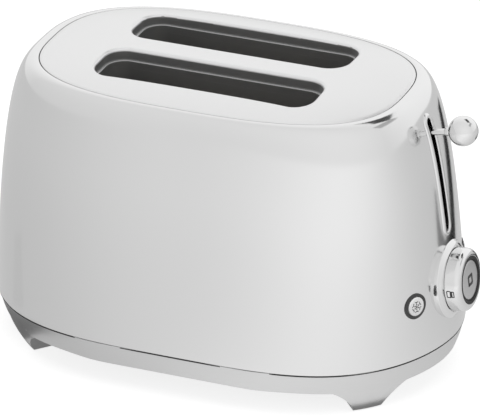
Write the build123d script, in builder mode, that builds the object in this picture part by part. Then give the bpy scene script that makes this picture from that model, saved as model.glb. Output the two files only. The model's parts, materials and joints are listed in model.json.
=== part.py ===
from build123d import *
import math
import os

# Two-slice toaster with a pressed steel shell, in millimetres.
# +X is the end with the lever and the dial, -Y is the long front side, +Z is up.
# The origin is the middle of the whole outline, on the surface that the toaster stands on.
# Every X below is measured from the middle of the body, which level(), front() and end() place.

os.makedirs("parts", exist_ok=True)

# Shell
HALF_LENGTH = 155.0
HALF_DEPTH = 97.0
SEAM_Z = 33.6
RIM_Z = 192.8
CROWN = 5.0
SHEET = 1.2
END_LEAN, SIDE_LEAN = 14.0, 15.0
END_ROLL, SIDE_ROLL = 20.8, 10.9
SHELL_STEPS = (0.0, 0.132, 0.264, 0.395, 0.527, 0.658, 0.788, 0.915, 1.0)
LEDGE_DROP = 2.2

# The ball on the lever is the furthest thing at the +X end, so the body stands back from the origin
BALL_RADIUS = 9.5
BALL_X, BALL_Z = 158.4, 174.8
BODY_X = (HALF_LENGTH - BALL_X - BALL_RADIUS) / 2

# Base
SKIRT_TOP = 32.8
SKIRT_BOTTOM = 18.2
SKIRT_WALL = 3.6
SOLE_Z = 0.8
PAD_RECESS = 0.7
PLATE_Z, PLATE_TOP = 20.0, 21.4
CORNERS = ((1, -1), (1, 1), (-1, 1), (-1, -1))
FOOT_X, FOOT_Y, FOOT_TURN, FOOT_DEPTH = 117.3, 57.3, 49.0, 14.0
PAD_X, PAD_Y, PAD_DEPTH, PAD_WIDTH = 112.7, 52.0, 9.0, 14.0
BOSS_X, BOSS_Y, BOSS_RADIUS = 104.0, 67.0, 5.5
SCREW_RADIUS = 1.5
GLAND_X, GLAND_Y = 78.0, 74.0
GLAND_RADIUS, GLAND_BORE = 6.0, 3.6

# Crumb tray
TRAY_HALF_WIDTH = 48.5
TRAY_END_X, TRAY_BACK_X = 84.0, -130.0
TRAY_TONGUE_X, TRAY_TONGUE_WIDTH = -146.4, 40.0
TRAY_Z = 22.0
TRAY_FRONT_HALF_WIDTH = 49.6
TRAY_FRONT_BOTTOM, TRAY_FRONT_HEIGHT = 21.6, 8.4
TRAY_MIDDLE = TRAY_FRONT_BOTTOM + TRAY_FRONT_HEIGHT / 2

# Bread slots and the frame under them
SLOT_Y = 28.8
SLOT_HALF_LENGTH = 73.7
SLOT_HALF_WIDTH = 19.3
SLOT_CORNER = 13.4
COLLAR_BOTTOM = 184.8
THROAT_BOTTOM = 166.0

# Chassis: two end sheets, two reflectors and the frame
END_SHEET_X, END_SHEET = 88.0, 1.0
CHASSIS_HALF_WIDTH = 64.0
LEG_Y, LEG_WIDTH = 62.0, 6.0
CHASSIS_BOTTOM = 32.0
CHASSIS_TOP = 183.6
REFLECTOR_Y = 60.0
RACK_SLOT_BOTTOM, RACK_SLOT_TOP = 34.4, 117.0

# Heating elements and bread guards, measured from the middle plane of the body
MICA_PLACES = {"front_outer": -52.5, "front_inner": -5.5, "rear_inner": 5.5, "rear_outer": 52.5}
MICA_BOTTOM, MICA_TOP = 42.0, 166.0
GUARD_SPREAD = 16.2
GUARD_BOTTOM, GUARD_TOP = 40.0, 160.0
GUARD_WIRE, GUARD_BAR = 1.0, 0.8

GUARD_UPRIGHTS = (-72, -48, -24, 0, 24, 48, 72)
RIBBON_RUNS, RIBBON_PITCH, RIBBON_BOTTOM = 10, 11.5, 50.0
RIBBON_REACH, RIBBON_WIDTH, RIBBON = 72.0, 2.4, 0.4

# Lift
LEVER_DOWN, LEVER_UP = 64.0, 7.0
RACK_Z = 108.0
RACK_WIDTH = 20.0
WEB_HEIGHT = 7.0
ROD_X, ROD_Y, ROD_RADIUS = 104.0, 22.0, 2.5
RUNNING_GAP = 0.06
STEM_RADIUS = 2.0
STEM_TILT = 12.0
STEM_ROOT_X = 97.0
CARRIAGE_BOTTOM = 98.0
CARRIAGE_X = 92.5
SPRING_Y = 36.0
SPRING_BOTTOM, SPRING_TOP = 118.0, 179.7
ROD_BOTTOM, ROD_TOP = 24.0, 182.0
LATCH_X, LATCH_Y = 100.0, -36.5
MAGNET_TOP = 31.7

# Lever slot in the shell
LEVER_SLOT_WIDTH = 6.0
LEVER_SLOT_BOTTOM, LEVER_SLOT_TOP = 104.2, 179.2

# Dial and corner buttons
DIAL_X, DIAL_Z, DIAL_TILT = 149.9, 71.1, 6.0
BEZEL_RADIUS, KNOB_RADIUS = 25.1, 20.0
WELL_RADIUS, STOP_RADIUS = 14.6, 13.3
SLEEVE_RADIUS, SLEEVE_BORE = 6.0, 2.8
NECK_BORE, KNOB_FACE = 12.5, 15.6
BOARD_DEPTH, BOARD = 34.0, 1.6
BOARD_HOLES_Y, BOARD_HOLES_Z = 95.0, 36.0
BUTTON_X, BUTTON_Y, BUTTON_Z = 141.7, 40.6, 69.7
BUTTON_TURN, BUTTON_TILT = 27.2, 4.0
BUTTON_RADIUS, BUTTON_BORE, BUTTON_PROUD = 6.1, 6.4, 2.6
DIAL_HOLE, BUTTON_HOLE = 16.0, 7.4


def level(z, x=0.0, y=0.0):
    """Horizontal plane at height z."""
    return Plane(origin=(BODY_X + x, y, z), x_dir=(1, 0, 0), z_dir=(0, 0, 1))


def front(y, x=0.0, z=0.0):
    """Upright plane that faces the long front side: sketch x is +X and sketch y is +Z."""
    return Plane(origin=(BODY_X + x, y, z), x_dir=(1, 0, 0), z_dir=(0, -1, 0))


def end(x, y=0.0, z=0.0):
    """Upright plane that faces the lever end: sketch x is +Y and sketch y is +Z."""
    return Plane(origin=(BODY_X + x, y, z), x_dir=(0, 1, 0), z_dir=(1, 0, 0))


def facing(x, y, z, turn, tilt, depth=0.0):
    """Plane on the shell whose normal is turned from +X and tilted up, moved inwards by depth."""
    turn, tilt = math.radians(turn), math.radians(tilt)
    normal = Vector(math.cos(turn) * math.cos(tilt), math.sin(turn) * math.cos(tilt), math.sin(tilt))
    across = Vector(-math.sin(turn), math.cos(turn), 0)
    return Plane(origin=Vector(BODY_X + x, y, z) - normal * depth, x_dir=across, z_dir=normal)


def dial_plane(depth=0.0):
    """Plane square to the dial's axis, that far behind the foot of its bezel."""
    return facing(DIAL_X, 0, DIAL_Z, 0, DIAL_TILT, depth)


def button_plane(side, depth=0.0):
    """Plane square to a corner button's axis. side is -1 at the front and +1 at the back."""
    return facing(BUTTON_X, side * BUTTON_Y, BUTTON_Z, side * BUTTON_TURN, BUTTON_TILT, depth)


def oval(half_length, half_width, end_power, side_power, mode=Mode.ADD):
    """Fill a closed oval whose quarters follow powers of the cosine and the sine."""
    quarter = [(half_length, 0)]
    for degrees in (18, 38, 58, 76):
        angle = math.radians(degrees)
        x = half_length * math.cos(angle) ** (2 / end_power)
        y = half_width * math.sin(angle) ** (2 / side_power)
        quarter.append((x, y))
    quarter.append((0, half_width))
    with BuildLine() as rim:
        Spline(*quarter, tangents=[(0, 1), (-1, 0)])
        mirror(about=Plane.YZ)
        mirror(about=Plane.XZ)
    make_face(rim.edges(), mode=mode)


def loft_ovals(sizes, mode=Mode.ADD):
    """Loft through a list of (height, half length, half width, end power, side power)."""
    sections = []
    for z, half_length, half_width, end_power, side_power in sizes:
        with BuildSketch(level(z)) as section:
            oval(half_length, half_width, end_power, side_power)
        sections.append(section.sketch)
    loft(sections, mode=mode)


def shell_sizes(t, inset=0.0):
    """Half sizes and powers of the shell at a share t of its height, drawn in by inset."""
    roll = 1 - (1 - t**3) ** (1 / 3)
    half_length = HALF_LENGTH - END_LEAN * t - END_ROLL * roll - inset
    half_width = HALF_DEPTH - SIDE_LEAN * t - SIDE_ROLL * roll - inset
    return half_length, half_width, 3.6 - 0.75 * t, 1.8 + t


def shell_form(inset=0.0, bottom=SEAM_Z, top=RIM_Z, mode=Mode.ADD):
    """Loft the shell's form between two heights, drawn in by inset."""
    loft_ovals([(bottom + (top - bottom) * t, *shell_sizes(t, inset)) for t in SHELL_STEPS], mode)


def base_form(draws, inset=0.0, mode=Mode.ADD):
    """Loft part of the base from (height, how far its outline is drawn in from the seam)."""
    sizes = [(z, *shell_sizes(0.0, draw + inset)) for z, draw in draws]
    loft_ovals(sizes, mode)


SKIRT_DRAWS = ((SKIRT_BOTTOM, 5.2), (26.0, 2.4), (SKIRT_TOP, 0.9))
FOOT_DRAWS = ((SOLE_Z, 13.4), (9.0, 8.8), (SKIRT_BOTTOM, 5.2))


def crown_form(drop=0.0, inset=0.0, mode=Mode.ADD):
    """Fill the top plate's crown: steepest at its rim and level in the middle."""
    half_length, half_width, end_power, side_power = shell_sizes(1.0, 0.8 + inset)
    with BuildSketch(level(RIM_Z - LEDGE_DROP - drop)) as rim:
        oval(half_length, half_width, end_power, side_power)
    extrude(rim.sketch, amount=LEDGE_DROP, mode=mode)
    sizes = []
    for step in range(4):
        share = 1 - 0.14 * step
        rise = CROWN * (1 - ((3 - step) / 3) ** 2)
        sizes.append((RIM_Z - drop + rise, half_length * share, half_width * share, end_power, side_power))
    loft_ovals(sizes, mode)


def slot_outline(grow=0.0):
    """Fill both bread slots, grown all round."""
    length, width = 2 * (SLOT_HALF_LENGTH + grow), 2 * (SLOT_HALF_WIDTH + grow)
    with Locations((0, -SLOT_Y), (0, SLOT_Y)):
        RectangleRounded(length, width, SLOT_CORNER + grow)


def lever_slot_outline(grow=0.0):
    """Fill the upright slot for the lever's stem, grown all round."""
    height = LEVER_SLOT_TOP - LEVER_SLOT_BOTTOM + 2 * grow
    with Locations((0, (LEVER_SLOT_TOP + LEVER_SLOT_BOTTOM) / 2)):
        SlotOverall(height, LEVER_SLOT_WIDTH + 2 * grow, rotation=90)


def foot_turn(across, along):
    """Direction in which a corner foot faces, in degrees from +X."""
    return along * (90 - across * (90 - FOOT_TURN))


def stem_height(x):
    """Height of the lever stem's axis at x, for the tilt at which it reaches the ball."""
    return BALL_Z - math.tan(math.radians(STEM_TILT)) * (BALL_X - x)


def stem_plane(x):
    """Plane square to the lever stem, with its origin on the stem's axis at x."""
    tilt = math.radians(STEM_TILT)
    return Plane(
        origin=(BODY_X + x, 0, stem_height(x)), x_dir=(0, 1, 0), z_dir=(math.cos(tilt), 0, math.sin(tilt))
    )


def turning_plane(plane):
    """Plane through another plane's normal, for the profile of a turned piece."""
    return Plane(origin=plane.origin, x_dir=plane.x_dir, z_dir=plane.x_dir.cross(plane.z_dir))


def axis_of(plane):
    """Axis along a plane's normal."""
    return Axis(plane.origin, plane.z_dir)


def rod(plane, radius, length, mode=Mode.ADD):
    """Add a round rod that stands on a plane."""
    with BuildSketch(plane) as section:
        Circle(radius)
    extrude(section.sketch, amount=length, mode=mode)


def tube(plane, outer, inner, length, mode=Mode.ADD):
    """Add a round tube that stands on a plane."""
    with BuildSketch(plane) as section:
        Circle(outer)
        Circle(inner, mode=Mode.SUBTRACT)
    extrude(section.sketch, amount=length, mode=mode)


def block(plane, width, height, length, corner=0.0, mode=Mode.ADD):
    """Add a block that stands on a plane, with round corners where a corner radius is given."""
    with BuildSketch(plane) as section:
        if corner:
            RectangleRounded(width, height, corner)
        else:
            Rectangle(width, height)
    extrude(section.sketch, amount=length, mode=mode)


def coil(plane, length, radius, wire, turns):
    """Add a coil spring of six-sided wire that stands on a plane."""
    path = Helix(pitch=length / turns, height=length, radius=radius, mode=Mode.PRIVATE)
    with BuildSketch(Plane(origin=path @ 0, z_dir=path % 0)) as section:
        RegularPolygon(wire, 6)
    spring = sweep(section.sketch, path=path, is_frenet=True, mode=Mode.PRIVATE)
    add(plane.location * spring)


# Shell: one deep-drawn steel wall with a rolled shoulder, a raised lip round the lever slot
# and a sunk ledge that carries the top plate
with BuildPart() as slot_lip:
    shell_form(inset=-1.1)
    with BuildSketch(end(120)):
        lever_slot_outline(3.0)
    extrude(amount=60, mode=Mode.INTERSECT)

with BuildPart() as shell_cuts:
    with BuildSketch(level(RIM_Z - LEDGE_DROP)):
        oval(*shell_sizes(1.0, 0.3))
    extrude(amount=20)
    with BuildSketch(level(RIM_Z - 10)):
        oval(*shell_sizes(1.0, 6.0))
    extrude(amount=20)
    with BuildSketch(end(120)):
        lever_slot_outline()
    extrude(amount=60)
    rod(dial_plane(20), DIAL_HOLE, 40)
    for side in (-1, 1):
        rod(button_plane(side, 8), BUTTON_HOLE, 20)

with BuildPart() as body_shell:
    shell_form()
    add(slot_lip.part)
    shell_form(inset=SHEET, top=RIM_Z - LEDGE_DROP - SHEET, mode=Mode.SUBTRACT)
    add(shell_cuts.part, mode=Mode.SUBTRACT)

# Top plate: a thin crowned pressing whose slot edges turn down into short collars
with BuildPart() as slot_cut:
    with BuildSketch(level(RIM_Z - 20)):
        slot_outline()
    extrude(amount=40)

with BuildPart() as top_plate:
    crown_form()
    crown_form(drop=1.2, inset=4.0, mode=Mode.SUBTRACT)
    with BuildSketch(level(COLLAR_BOTTOM)):
        slot_outline(1.4)
    extrude(amount=RIM_Z + 2 - COLLAR_BOTTOM)
    add(slot_cut.part, mode=Mode.SUBTRACT)

# Base: a tapered ring, cast in one piece with its four flared feet and its screw bosses
with BuildPart() as foot_blocks:
    for across, along in CORNERS:
        turn = foot_turn(across, along)
        with BuildSketch(facing(across * FOOT_X, along * FOOT_Y, 0, turn, 0, depth=FOOT_DEPTH)):
            with BuildLine():
                Line((25, SKIRT_BOTTOM), (-25, SKIRT_BOTTOM))
                ThreePointArc((25, SKIRT_BOTTOM), (14.4, 9.6), (9.5, SOLE_Z))
                Line((9.5, SOLE_Z), (-9.5, SOLE_Z))
                ThreePointArc((-9.5, SOLE_Z), (-14.4, 9.6), (-25, SKIRT_BOTTOM))
            make_face()
        extrude(amount=60)

with BuildPart() as feet:
    base_form(FOOT_DRAWS)
    add(foot_blocks.part, mode=Mode.INTERSECT)

with BuildPart() as base_skirt:
    base_form(SKIRT_DRAWS)
    base_form(SKIRT_DRAWS, inset=SKIRT_WALL, mode=Mode.SUBTRACT)
    with BuildSketch(level(SKIRT_TOP - 3)):
        oval(*shell_sizes(0.0, 2.6))
        oval(*shell_sizes(0.0, 6.0), mode=Mode.SUBTRACT)
    extrude(amount=SEAM_Z - SKIRT_TOP + 3)
    with BuildSketch(level(SKIRT_TOP)):
        oval(*shell_sizes(0.0, 0.6))
        oval(*shell_sizes(0.0, 2.6), mode=Mode.SUBTRACT)
    extrude(amount=SEAM_Z - SKIRT_TOP)
    with BuildSketch(level(SEAM_Z)):
        oval(*shell_sizes(0.0, 2.0))
        oval(*shell_sizes(0.0, 3.6), mode=Mode.SUBTRACT)
    extrude(amount=4)
    add(feet.part)
    for across, along in CORNERS:
        rod(level(PLATE_TOP, across * BOSS_X, along * BOSS_Y), BOSS_RADIUS, 9)
        web = level(PLATE_TOP, across * (BOSS_X + 3), along * (BOSS_Y + 4.5))
        block(web.rotated((0, 0, across * along * 57)), 10, 4, 9)
        rod(level(PLATE_TOP, across * BOSS_X, along * BOSS_Y), SCREW_RADIUS + 0.1, 8, Mode.SUBTRACT)
        pad_place = level(SOLE_Z, across * PAD_X, along * PAD_Y).rotated((0, 0, foot_turn(across, along)))
        block(pad_place, PAD_DEPTH + 0.2, PAD_WIDTH + 0.2, PAD_RECESS, 3, Mode.SUBTRACT)
    gap = 0.8
    mouth = end(-100, 0, TRAY_MIDDLE)
    block(mouth, 2 * TRAY_FRONT_HALF_WIDTH + gap, TRAY_FRONT_HEIGHT + gap, -60, 1.5, Mode.SUBTRACT)

with BuildPart() as foot_pads:
    for across, along in CORNERS:
        pad_place = level(0, across * PAD_X, along * PAD_Y).rotated((0, 0, foot_turn(across, along)))
        block(pad_place, PAD_DEPTH, PAD_WIDTH, SOLE_Z + PAD_RECESS, 3)

# Bottom plate: vented sheet that carries two guide rails for the crumb tray and two posts to wind the cord on
with BuildPart() as bottom_plate:
    with BuildSketch(level(PLATE_Z)):
        oval(*shell_sizes(0.0, 8.6))
        with GridLocations(16, 46, 7, 2):
            SlotOverall(34, 4, rotation=90, mode=Mode.SUBTRACT)
    extrude(amount=PLATE_TOP - PLATE_Z)
    rod(level(PLATE_Z, GLAND_X, GLAND_Y), GLAND_RADIUS, 2, Mode.SUBTRACT)
    for across, along in CORNERS:
        rod(level(PLATE_Z, across * BOSS_X, along * BOSS_Y), SCREW_RADIUS + 0.4, 2, Mode.SUBTRACT)

with BuildPart() as tray_rails:
    for along in (-1, 1):
        block(level(PLATE_TOP, -24, along * (TRAY_HALF_WIDTH + 1.2)), 200, 1.2, 8)

with BuildPart() as cord_posts:
    for across in (-1, 1):
        rod(level(7, across * 62, 0), 5, PLATE_Z - 7)
        block(level(5, across * 67, 0), 22, 16, 2.4, 4)

with BuildPart() as base_screws:
    for across, along in CORNERS:
        rod(level(PLATE_Z - 1.8, across * BOSS_X, along * BOSS_Y), 3.2, 1.8)
        rod(level(PLATE_Z, across * BOSS_X, along * BOSS_Y), SCREW_RADIUS, 8.5)

# Cord entry in the bottom plate, and the block where the supply wires end
with BuildPart() as cord_gland:
    with BuildSketch(front(GLAND_Y, GLAND_X)):
        with BuildLine():
            Polyline(
                (GLAND_BORE, PLATE_Z - 8),
                (GLAND_BORE + 1.4, PLATE_Z - 8),
                (GLAND_RADIUS + 2, PLATE_Z),
                (GLAND_RADIUS, PLATE_Z),
                (GLAND_RADIUS, PLATE_TOP),
                (GLAND_RADIUS + 1.2, PLATE_TOP),
                (GLAND_RADIUS + 1.2, PLATE_TOP + 5),
                (GLAND_BORE, PLATE_TOP + 5),
                close=True,
            )
        make_face()
    revolve(axis=Axis((BODY_X + GLAND_X, GLAND_Y, 0), (0, 0, 1)))

with BuildPart() as terminal_block:
    block(level(PLATE_TOP, 44, 75), 34, 11, 12, 1.5)
    for place in (-11, 0, 11):
        rod(level(PLATE_TOP + 4, 44 + place, 75), 2.2, 10, Mode.SUBTRACT)

# Crumb tray: folded pan with a front that closes the opening in the base
with BuildPart() as tray_front:
    base_form(SKIRT_DRAWS)
    base_form(SKIRT_DRAWS, inset=SKIRT_WALL, mode=Mode.SUBTRACT)
    block(end(-100, 0, TRAY_MIDDLE), 2 * TRAY_FRONT_HALF_WIDTH, TRAY_FRONT_HEIGHT, -60, 1.2, Mode.INTERSECT)
    with BuildSketch(front(0, -HALF_LENGTH + 4.4, TRAY_FRONT_BOTTOM)):
        Circle(3.2)
    extrude(amount=30, both=True, mode=Mode.SUBTRACT)

with BuildPart() as crumb_tray:
    pan_x = (TRAY_END_X + TRAY_BACK_X) / 2
    block(level(TRAY_Z, pan_x), TRAY_END_X - TRAY_BACK_X, 2 * TRAY_HALF_WIDTH, 6, 4)
    inside = TRAY_END_X - TRAY_BACK_X - 1.6
    block(level(TRAY_Z + 0.8, pan_x), inside, 2 * TRAY_HALF_WIDTH - 1.6, 6, 3.2, Mode.SUBTRACT)
    tongue_length = TRAY_BACK_X - TRAY_TONGUE_X + 2
    block(level(TRAY_Z, TRAY_TONGUE_X + tongue_length / 2), tongue_length, TRAY_TONGUE_WIDTH, 0.8)
    add(tray_front.part, mode=Mode.SUBTRACT)

# Chassis: end sheets with guide slots, side reflectors, and a frame with a throat under each slot
with BuildPart() as end_sheet_form:
    with BuildSketch(end(0)):
        with Locations((0, (CHASSIS_TOP + CHASSIS_BOTTOM) / 2)):
            Rectangle(2 * CHASSIS_HALF_WIDTH, CHASSIS_TOP - CHASSIS_BOTTOM)
        for along in (-1, 1):
            with Locations((along * LEG_Y, (CHASSIS_BOTTOM + PLATE_TOP) / 2)):
                Rectangle(LEG_WIDTH, CHASSIS_BOTTOM - PLATE_TOP)
            with Locations((along * SLOT_Y, (RACK_SLOT_BOTTOM + RACK_SLOT_TOP) / 2)):
                SlotOverall(RACK_SLOT_TOP - RACK_SLOT_BOTTOM, 4.0, rotation=90, mode=Mode.SUBTRACT)
            for spread in (-GUARD_SPREAD, GUARD_SPREAD):
                with Locations((along * SLOT_Y + spread, GUARD_BOTTOM)):
                    Circle(GUARD_WIRE + 0.08, mode=Mode.SUBTRACT)
            with Locations((along * 42, 150), (along * 42, 120)):
                SlotOverall(20, 5, mode=Mode.SUBTRACT)
    extrude(amount=END_SHEET)

with BuildPart() as control_end_sheet:
    with Locations((END_SHEET_X - END_SHEET / 2, 0, 0)):
        add(end_sheet_form.part)

with BuildPart() as far_end_sheet:
    with Locations((-END_SHEET_X - END_SHEET / 2, 0, 0)):
        add(end_sheet_form.part)

with BuildPart() as reflector_form:
    inner_half = END_SHEET_X - END_SHEET / 2
    with BuildSketch(front(0)):
        with Locations((0, (CHASSIS_TOP + CHASSIS_BOTTOM + 1) / 2)):
            Rectangle(2 * inner_half, CHASSIS_TOP - CHASSIS_BOTTOM - 1)
        with Locations((0, 60)):
            with GridLocations(24, 1, 7, 1):
                SlotOverall(16, 4, mode=Mode.SUBTRACT)
    extrude(amount=0.8)
    for z in (80, 110, 140):
        block(front(0.8, 0, z), 2 * inner_half - 20, 5, 1.0)

with BuildPart() as reflector_front:
    with Locations((0, -REFLECTOR_Y, 0)):
        add(reflector_form.part)

with BuildPart() as reflector_rear:
    add(mirror(reflector_front.part, about=Plane.XZ, mode=Mode.PRIVATE))

with BuildPart() as upper_frame:
    block(level(CHASSIS_TOP), 2 * END_SHEET_X + 3, 2 * CHASSIS_HALF_WIDTH, COLLAR_BOTTOM - CHASSIS_TOP, 6)
    with BuildSketch(level(CHASSIS_TOP)):
        slot_outline(-1.2)
    extrude(amount=2, mode=Mode.SUBTRACT)

with BuildPart() as slot_throats:
    with BuildSketch(level(THROAT_BOTTOM)):
        slot_outline(-0.2)
    extrude(amount=CHASSIS_TOP - THROAT_BOTTOM)
    with BuildSketch(level(THROAT_BOTTOM)):
        slot_outline(-1.2)
    extrude(amount=CHASSIS_TOP - THROAT_BOTTOM, mode=Mode.SUBTRACT)

# Heating elements: a mica sheet each, with one ribbon laid to and fro over its toasting face
mica_pieces, winding_pieces = {}, {}
for place, y in MICA_PLACES.items():
    towards_bread = math.copysign(1, SLOT_Y * math.copysign(1, y) - y)
    with BuildPart() as mica:
        with BuildSketch(front(y + 0.5)):
            with Locations((0, (MICA_TOP + MICA_BOTTOM) / 2)):
                Rectangle(2 * END_SHEET_X - END_SHEET, MICA_TOP - MICA_BOTTOM)
            with Locations((0, MICA_TOP)):
                with GridLocations(40, 1, 4, 1):
                    SlotOverall(16, 8, mode=Mode.SUBTRACT)
        extrude(amount=1.0)
    mica_pieces[f"mica_{place}"] = mica
    with BuildPart() as winding:
        face_y = y + towards_bread * 0.5
        with BuildSketch(front(face_y)):
            runs = []
            for row in range(RIBBON_RUNS):
                z = RIBBON_BOTTOM + row * RIBBON_PITCH
                reach = RIBBON_REACH if row % 2 == 0 else -RIBBON_REACH
                runs += [(-reach, z), (reach, z)]
            with BuildLine():
                Polyline(*runs)
            trace(line_width=RIBBON_WIDTH)
        extrude(amount=-towards_bread * RIBBON)
    winding_pieces[f"heating_ribbon_{place}"] = winding

# Bread guards: wire grids that lean towards the bread as it goes down, each on its lowest wire
guard_pieces = {}
for slot, slot_y in (("front", -SLOT_Y), ("rear", SLOT_Y)):
    for side, outwards in (("outer", 1), ("inner", -1)):
        y = slot_y + math.copysign(GUARD_SPREAD, slot_y) * outwards
        with BuildPart() as guard:
            rod(end(-END_SHEET_X - 3, y, GUARD_BOTTOM), GUARD_WIRE, 2 * END_SHEET_X + 6)
            for z in (100, GUARD_TOP):
                rod(end(-78, y, z), GUARD_WIRE, 156)
            for x in GUARD_UPRIGHTS:
                rod(level(GUARD_BOTTOM, x, y), GUARD_BAR, GUARD_TOP - GUARD_BOTTOM)
        guard_pieces[f"bread_guard_{slot}_{side}"] = guard

# Bread racks: a strip with upturned teeth on a web that runs in the slots of both end sheets
rack_pieces = {}
for slot, slot_y in (("front", -SLOT_Y), ("rear", SLOT_Y)):
    with BuildPart() as rack:
        with BuildSketch(level(RACK_Z - 1.2, 0, slot_y)):
            RectangleRounded(150, RACK_WIDTH, 3)
            with GridLocations(28, 12, 5, 2):
                SlotOverall(20, 5, mode=Mode.SUBTRACT)
        extrude(amount=1.2)
        web_middle, web_length = (CARRIAGE_X - END_SHEET_X - 4) / 2, CARRIAGE_X + END_SHEET_X + 4
        block(front(slot_y + 0.6, web_middle, RACK_Z - 1.2 - WEB_HEIGHT / 2), web_length, WEB_HEIGHT, 1.2)
        for edge in (-1, 1):
            for tooth in range(8):
                x = (tooth - 3.5) * 18
                with BuildSketch(front(slot_y + edge * (RACK_WIDTH / 2 - 0.5) + 0.5, x, RACK_Z)):
                    with BuildLine():
                        Polyline((-4, 0), (4, 0), (0, 3), (-4, 0))
                    make_face()
                extrude(amount=1.0)
    rack_pieces[f"bread_rack_{slot}"] = rack

# Lift: a carriage on two guide rods carries both racks, the armature and the lever
with BuildPart() as lift_carriage:
    with BuildSketch(end(CARRIAGE_X)):
        with Locations((0, CARRIAGE_BOTTOM + 8)):
            RectangleRounded(84, 16, 3)
        with Locations((0, CARRIAGE_BOTTOM + 38)):
            Rectangle(16, 72)
    extrude(amount=1.5)
    block(level(CARRIAGE_BOTTOM, CARRIAGE_X + 9, -7), 16, 75, 1.5, 2)
    for along in (-1, 1):
        rod(level(CARRIAGE_BOTTOM, ROD_X, along * ROD_Y), ROD_RADIUS + 2.5, 20)
        rod(level(CARRIAGE_BOTTOM - 1, ROD_X, along * ROD_Y), ROD_RADIUS + RUNNING_GAP, 30, Mode.SUBTRACT)
    block(end(CARRIAGE_X, 0, stem_height(CARRIAGE_X + 8)), 9, 12, 15.5, 2)
    block(end(CARRIAGE_X, SPRING_Y, SPRING_BOTTOM - 4.8), 6, 8, 12, 1)
    rod(stem_plane(STEM_ROOT_X), STEM_RADIUS, 40, Mode.SUBTRACT)

with BuildPart() as guide_rods:
    for along in (-1, 1):
        rod(level(ROD_BOTTOM, ROD_X, along * ROD_Y), ROD_RADIUS, ROD_TOP - ROD_BOTTOM)

with BuildPart() as rod_brackets:
    bracket_x = END_SHEET_X + END_SHEET / 2
    for z, half_width in ((ROD_BOTTOM, 28), (ROD_TOP - 1.5, 44)):
        block(level(z, bracket_x + 11), 22, 2 * half_width, 1.5, 1.5)
        for along in (-1, 1):
            rod(level(z, ROD_X, along * ROD_Y), ROD_RADIUS, 1.5, Mode.SUBTRACT)
    block(end(bracket_x, 0, ROD_BOTTOM + 4), 50, 8, 1.2)
    block(end(bracket_x, 0, ROD_TOP - 4.5), 80, 9, 1.2)

with BuildPart() as lever_stem:
    stem_length = (BALL_X - STEM_ROOT_X) / math.cos(math.radians(STEM_TILT))
    rod(stem_plane(STEM_ROOT_X), STEM_RADIUS, stem_length)

with BuildPart() as lever_ball:
    with Locations((BODY_X + BALL_X, 0, BALL_Z)):
        Sphere(BALL_RADIUS)
    rod(stem_plane(STEM_ROOT_X), STEM_RADIUS, stem_length, Mode.SUBTRACT)

with BuildPart() as lift_spring:
    coil(level(SPRING_BOTTOM, 100, SPRING_Y), SPRING_TOP - SPRING_BOTTOM, 3.6, 0.6, 9)

# Latch: the carriage's steel plate meets an electromagnet at the end of its travel
with BuildPart() as latch_armature:
    block(level(CARRIAGE_BOTTOM - 2, LATCH_X, LATCH_Y), 14, 16, 2, 2)

with BuildPart() as magnet_core:
    block(level(PLATE_TOP, LATCH_X, LATCH_Y), 13, 16, 2.5, 0.6)
    for place in (-6, 0, 6):
        block(level(PLATE_TOP, LATCH_X, LATCH_Y + place), 13, 4, MAGNET_TOP - PLATE_TOP, 0.4)

with BuildPart() as magnet_coil:
    block(level(PLATE_TOP + 2.7, LATCH_X, LATCH_Y), 16, 7.6, 6.8, 1.5)
    block(level(PLATE_TOP + 2, LATCH_X, LATCH_Y), 13.2, 4.2, 9, 0, Mode.SUBTRACT)

# Controls: a board square to the dial, the dial's control, and the two corner buttons
with BuildPart() as control_board:
    with BuildSketch(dial_plane(BOARD_DEPTH + BOARD)):
        with Locations((0, -4)):
            RectangleRounded(102, 46, 3)
            with GridLocations(BOARD_HOLES_Y, BOARD_HOLES_Z, 2, 2):
                Circle(1.6, mode=Mode.SUBTRACT)
    extrude(amount=BOARD)

with BuildPart() as board_components:
    with BuildSketch(dial_plane(BOARD_DEPTH)):
        with Locations((-30, -19), (-14, -21)):
            RectangleRounded(12, 8, 1)
        with Locations((22, -19), (36, -19)):
            Circle(5)
    extrude(amount=11)

with BuildPart() as board_posts:
    with BuildSketch(dial_plane(BOARD_DEPTH + BOARD)):
        with Locations((0, -4)):
            with GridLocations(BOARD_HOLES_Y, BOARD_HOLES_Z, 2, 2):
                Circle(2.5)
    extrude(amount=-32)
    block(end(END_SHEET_X + END_SHEET / 2 - 20, 0, 70), 120, 80, 20, 0, Mode.SUBTRACT)

with BuildPart() as dial_control:
    block(dial_plane(BOARD_DEPTH), 24, 24, 9, 2)
    rod(dial_plane(BOARD_DEPTH - 9), 8.5, 4)
    rod(dial_plane(BOARD_DEPTH), 4.2, 20, Mode.SUBTRACT)
    rod(dial_plane(BOARD_DEPTH - 8), SLEEVE_RADIUS + RUNNING_GAP, 20, Mode.SUBTRACT)

with BuildPart() as stop_switch:
    block(dial_plane(BOARD_DEPTH), 5.4, 5.4, 3.4)
    rod(dial_plane(BOARD_DEPTH - 3.4), 1.6, 1.0)

with BuildPart() as dial_sleeve:
    tube(dial_plane(BOARD_DEPTH - 8.4), SLEEVE_RADIUS, SLEEVE_BORE, BOARD_DEPTH - 8.4 + 8.0)

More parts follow.
